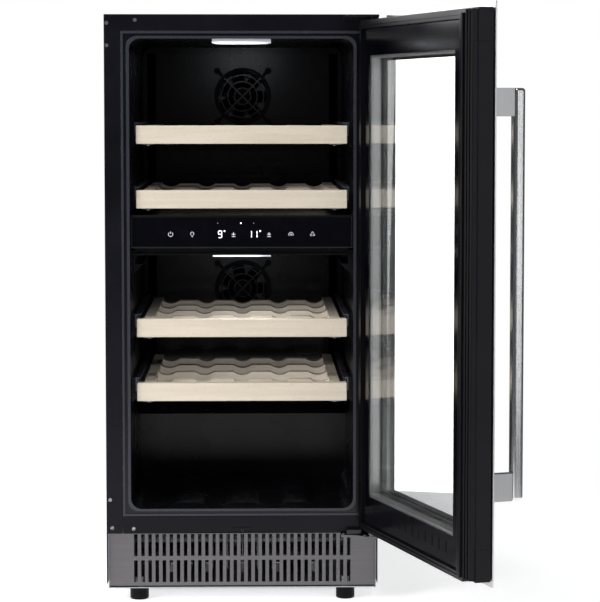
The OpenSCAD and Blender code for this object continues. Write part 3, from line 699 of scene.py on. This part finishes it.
def fan_sign(x, z):
    wings = []
    for turn in (90, 210, 330):
        wing_x = x + 2.1 * math.cos(math.radians(turn))
        wing_z = z + 2.1 * math.sin(math.radians(turn))
        wings += arc(wing_x, wing_z, 1.2, turn - 150, turn + 150, 0.42, 12)
    return wings


signs = power_sign(-99, ROW) + lamp_sign(-69, ROW) + plus_minus_sign(-11.5, ROW)
signs += plus_minus_sign(38, ROW) + house_sign(68.5, ROW) + fan_sign(98.6, ROW)
faint = [circle(x, DOTS, 0.6, 16) for x in (-33.5, 16.6)]
print("symbol strokes:", len(signs))

# %% [markdown]
# A lit symbol is a thin glowing plate on the glass. Three strengths are enough: bright digits, softer
# symbols and two hardly lit dots that tell which zone is being set.
# %% Light them
def glowing(name, colour, strength):
    f = Finish(name, Base_Color=(0.02, 0.02, 0.03), Roughness=0.3, Emission_Strength=strength)
    speck = grain(f, (2500, 2500, 2500), 1)
    return f.vary(Emission_Color=tint(f, speck, colour, tuple(min(1, c * 1.2) for c in colour)))


for name, outlines, strength in (("display_digits", digits, 3.2), ("touch_symbols", signs, 1.3),
                                 ("zone_dots", faint, 0.5)):
    glow = glowing(name + "_glow", (0.80, 0.78, 1.0), strength)
    mesh = plate_mesh(name, outlines, on_panel)
    finish_piece(name, mesh, "cabinet", glow.material)
print("the panel is lit")

# %% [markdown]
# ## The black print round the door glass
#
# A printed border on the outer pane hides the spacer and the glue. It is fired onto the glass, black and
# slightly matt, with small rounded inner corners. As a thin ring of its own it stays sharp from both
# sides. The ring is built from its two outlines, one inside the other, joined by a strip of faces.
# %% Printed border
def round_outline(low_a, high_a, low_b, high_b, r, steps=6):
    spots = []
    for a, b, start in ((high_a - r, high_b - r, 0), (low_a + r, high_b - r, 90),
                        (low_a + r, low_b + r, 180), (high_a - r, low_b + r, 270)):
        for i in range(steps + 1):
            t = math.radians(start + 90 * i / steps)
            spots.append((a + r * math.cos(t), b + r * math.sin(t)))
    return spots


def ring_mesh(name, outlines, turn):
    shape = bmesh.new()
    loops = [[shape.verts.new(turn(a, b, layer)) for a, b in outline] for outline, layer in outlines]
    for first, second in zip(loops, loops[1:] + loops[:1]):
        for i in range(len(first)):
            j = (i + 1) % len(first)
            shape.faces.new((first[i], first[j], second[j], second[i]))
    return closed_mesh(name, shape)


PANE_FACE = 27.0
PRINT_EDGE = 33.5
PRINT_SIDE, PRINT_LEVEL = 13, 8


def on_pane(s, z, layer):
    return on_door(s, PANE_FACE + 0.03 + 0.05 * layer, z)


glass_low, glass_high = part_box("outer_glass")
pane_z = (glass_low.z * 1000 + 0.3, glass_high.z * 1000 - 0.3)
outside = round_outline(PRINT_EDGE, DOOR_W - PRINT_EDGE, *pane_z, 1.5)
inside = round_outline(PRINT_EDGE + PRINT_SIDE, DOOR_W - PRINT_EDGE - PRINT_SIDE,
                       pane_z[0] + PRINT_LEVEL, pane_z[1] - PRINT_LEVEL, 3.5)
print_mesh = ring_mesh("printed_border", ((outside, 0), (inside, 0), (inside, 1), (outside, 1)), on_pane)
ceramic = moulded("ceramic_print", (0.004, 0.004, 0.005), 0.35, pores=2200, depth=0.00001)
finish_piece("printed_border", print_mesh, "door", ceramic.material)
print("printed border over", [round(v, 1) for v in pane_z])

# %% [markdown]
# ## The bead that seals the pane
#
# Where the steel turns in towards the glass, a small black bead of sealant closes the corner. It runs all
# the way round the window, six millimetres up the steel and about one and a half out from it. It is the
# same ring as the border, but it is wider at its foot than at its top, which slopes its face.
# %% Sealing bead
WINDOW_SIDE = 44.05
WINDOW_Z = (glass_low.z * 1000 + 12.05, glass_high.z * 1000 - 8.55)
BEAD_HIGH, BEAD_FOOT, BEAD_TOP = 6, 1.6, 0.35


def around_window(inset):
    side = WINDOW_SIDE + inset
    return round_outline(side, DOOR_W - side, WINDOW_Z[0] + inset, WINDOW_Z[1] - inset, 2.2)


def in_corner(s, z, layer):
    return on_door(s, PANE_FACE + 0.15 + BEAD_HIGH * layer, z)


bead_loops = ((around_window(0), 0), (around_window(BEAD_FOOT), 0),
              (around_window(BEAD_TOP), 1), (around_window(0), 1))
bead_mesh = ring_mesh("sealing_bead", bead_loops, in_corner)
sealant = moulded("black_sealant", (0.003, 0.003, 0.004), 0.4, pores=350, depth=0.0001)
finish_piece("sealing_bead", bead_mesh, "door", sealant.material)
print("window heights", [round(v, 1) for v in WINDOW_Z])

# %% [markdown]
# ## Guards of the two fans
#
# A thin black ring closes the edge of each fan opening, with four round ears where it is screwed to the
# duct. It is stamped from thin sheet. Each ear is one outline, a short neck that ends in most of a
# circle, turned to the four diagonals.
# %% Fan guards
duct_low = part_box("upper_duct_cover")[0]
GUARD_SHEET = 0.5
GUARD_R, GUARD_HOLE = 44.4, 40.2
EAR_R, EAR_AT, NECK = 5, 56.1, 2.4
EAR_TURN, EAR_STEPS = 151, 14


def on_duct(x, z, layer):
    return Vector((x * MM, duct_low.y - (0.05 + GUARD_SHEET * layer) * MM, z * MM))


def ear(x, z, turn):
    outline = [(GUARD_R + 0.3, NECK)]
    for i in range(EAR_STEPS + 1):
        t = math.radians(EAR_TURN * (1 - 2 * i / EAR_STEPS))
        outline.append((EAR_AT + EAR_R * math.cos(t), EAR_R * math.sin(t)))
    outline.append((GUARD_R + 0.3, -NECK))
    c, s = math.cos(math.radians(turn)), math.sin(math.radians(turn))
    return [(x + a * c - b * s, z + a * s + b * c) for a, b in outline]


guard_black = moulded("stamped_guard", (0.0008, 0.0008, 0.001), 0.5, depth=0.00004, Specular_IOR_Level=0.1)
for zone in ("upper", "lower"):
    hub_low, hub_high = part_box(zone + "_fan")
    hub = (hub_low + hub_high) / 2 / MM
    rim, hole = circle(hub.x, hub.z, GUARD_R, 48), circle(hub.x, hub.z, GUARD_HOLE, 48)
    ring = ring_mesh(zone + "_guard_ring", ((rim, 0), (hole, 0), (hole, 1), (rim, 1)), on_duct)
    finish_piece(zone + "_guard_ring", ring, "cabinet", guard_black.material)
    ears = plate_mesh(zone + "_guard_ears", [ear(hub.x, hub.z, 45 + 90 * i) for i in range(4)], on_duct)
    finish_piece(zone + "_guard_ears", ears, "cabinet", guard_black.material)
    print(zone, "guard around", round(hub.x, 1), round(hub.z, 1))

# %% [markdown]
# ## A blank rating plate
#
# Such a machine carries a foil plate with its electrical values beside the mains inlet. The plate stays
# blank here: only its frame line and three empty rows are printed. The foil is one plate, and the print
# is another on top of it.
# %% Rating plate
back_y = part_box("rear_panel")[1].y
PLATE_X, PLATE_Z = (-150, -70), (262, 308)
MARGIN, TOP_MARGIN, LINE, ROW_STEP = 3, 3.6, 0.8, 11


def box_outline(x0, x1, z0, z1):
    return [(x0, z0), (x1, z0), (x1, z1), (x0, z1)]


def on_back(lift):
    return lambda x, z, layer: Vector((x * MM, back_y + (lift + 0.05 * layer) * MM, z * MM))


foil = plate_mesh("rating_plate", [box_outline(*PLATE_X, *PLATE_Z)], on_back(0.02))
plate_foil = painted("plate_foil", (0.45, 0.46, 0.47), 0.4)
finish_piece("rating_plate", foil, "cabinet", plate_foil.material)
left, right = PLATE_X[0] + MARGIN, PLATE_X[1] - MARGIN
bottom, top = PLATE_Z[0] + MARGIN, PLATE_Z[1] - TOP_MARGIN
levels = [bottom + ROW_STEP * i for i in range(4)] + [top]
rows = [box_outline(left, right, z, z + LINE) for z in levels]
rows += [box_outline(x, x + LINE, bottom + LINE, top) for x in (left, right - LINE)]
ink = plate_mesh("rating_rows", rows, on_back(0.08))
finish_piece("rating_rows", ink, "cabinet", ceramic.material)
print("rating plate rows:", len(rows))

# %% [markdown]
# ## Floor and light
#
# A product studio has a pale floor and a wide, even background. The floor is one large sheet. The world
# is white where the camera or clear glass looks straight at it, and a soft grey for everything else, so
# that black surfaces keep their depth, as with black flags beside a real set. The paper glows a little,
# except under the cooler, where a real floor lies in shade.
# %% Floor
FLOOR_R, FLOOR_FORWARD = 1.3, 0.6
SHADE_X, SHADE_Y = (0.12, 0.18), (0.08, 0.20)
floor_mesh = bpy.data.meshes.new("studio_floor")
floor_shape = bmesh.new()
bmesh.ops.create_circle(floor_shape, cap_ends=True, segments=64, radius=FLOOR_R)
floor_shape.to_mesh(floor_mesh)
floor_shape.free()
floor = bpy.data.objects.new("studio_floor", floor_mesh)
floor.location = (0, -FLOOR_FORWARD, 0)
bpy.context.scene.collection.objects.link(floor)
paper = Finish("pale_floor", Base_Color=(0.92, 0.92, 0.92), Roughness=0.9, Specular_IOR_Level=0.0,
               Emission_Strength=0.6)
x, y, _ = axes(paper)
beside, before = remap(paper, abs(x), *SHADE_X), remap(paper, abs(y - FLOOR_FORWARD), *SHADE_Y)
footprint = (1 - beside) * (1 - before)
paper.vary(Emission_Color=tint(paper, footprint, (1.0, 1.0, 1.0), (0.02, 0.02, 0.02)))
floor_mesh.materials.append(paper.material)
print("floor paper is", 2 * FLOOR_R, "m across")

# %% [markdown]
# The world is written with the same wires. A ray that went through glass without having bounced sees the
# brightest white, because two panes dim what is behind them. Every ray that has bounced sees the dim
# grey.
# %% World
class Sky(Finish):
    def __init__(self, name):
        self.world = bpy.data.worlds.new(name)
        self.world.use_nodes = True
        self.tree = self.world.node_tree
        self.tree.nodes.clear()


sky = Sky("studio")
bpy.context.scene.world = sky.world
ray = sky.node("LightPath", {}).socket.node.outputs
seen, through = Wire(sky, ray["Is Camera Ray"]), Wire(sky, ray["Is Transmission Ray"])
bounces = Wire(sky, ray["Glossy Depth"]) + Wire(sky, ray["Diffuse Depth"])
dim = sky.node("Background", {}, (0.88, 0.92, 1), 0.10)
white = sky.node("Background", {}, (1, 1, 1), 1.0)
bright = sky.node("Background", {}, (1, 1, 1), 2.8)
shade = sky.node("MixShader", {}, seen, dim, white)
shade = sky.node("MixShader", {}, through > bounces, shade, bright)
sky.plug(sky.tree.nodes.new("ShaderNodeOutputWorld").inputs["Surface"], shade)
print("world ready")

# %% [markdown]
# Four softboxes do the modelling: a wide one in front on the left, a narrow tall one on the right that
# draws the bright line down the handle, one overhead, and one behind for the views of the back. Two small
# area lights sit just under the lit lenses, because a glowing surface alone is a noisy way to light the
# inside.
# %% Lamps
def softbox(name, spot, aim, width, height, power, colour=(1, 1, 1)):
    lamp = bpy.data.lights.new(name, "AREA")
    lamp.shape, lamp.size, lamp.size_y = "RECTANGLE", width, height
    lamp.energy, lamp.color = power, colour
    box = bpy.data.objects.new(name, lamp)
    box.location = spot
    box.rotation_euler = (Vector(aim) - Vector(spot)).to_track_quat("-Z", "Y").to_euler()
    bpy.context.scene.collection.objects.link(box)


softbox("left_softbox", (-2.4, -2.6, 1.6), (0, -0.2, 0.45), 1.2, 2.0, 85)
softbox("right_softbox", (1.75, -2.6, 0.9), (0.4, -0.5, 0.45), 0.34, 2.0, 8.5)
softbox("top_softbox", (0, -1.2, 3.0), (0, -0.2, 0.4), 2.0, 1.2, 45)
softbox("back_softbox", (-1.9, 2.4, 1.6), (0, 0.2, 0.4), 1.2, 1.6, 26)
upper_lamp_z = lens_high.z - LENS_H - 1.4 * MM
lower_lamp_z = lens_low.z - 1.1 * MM
for name, z in (("upper_zone_light", upper_lamp_z), ("lower_zone_light", lower_lamp_z)):
    softbox(name, (0, -0.229, z), (0, -0.13, z - 0.3), 0.075, 0.018, 0.16, (0.90, 0.94, 1))

# %% [markdown]
# ## Colour management
#
# The plain Standard view keeps white paper white and black plastic black.
# %% Finish
bpy.context.scene.view_settings.view_transform = "Standard"
bpy.context.scene.view_settings.look = "None"
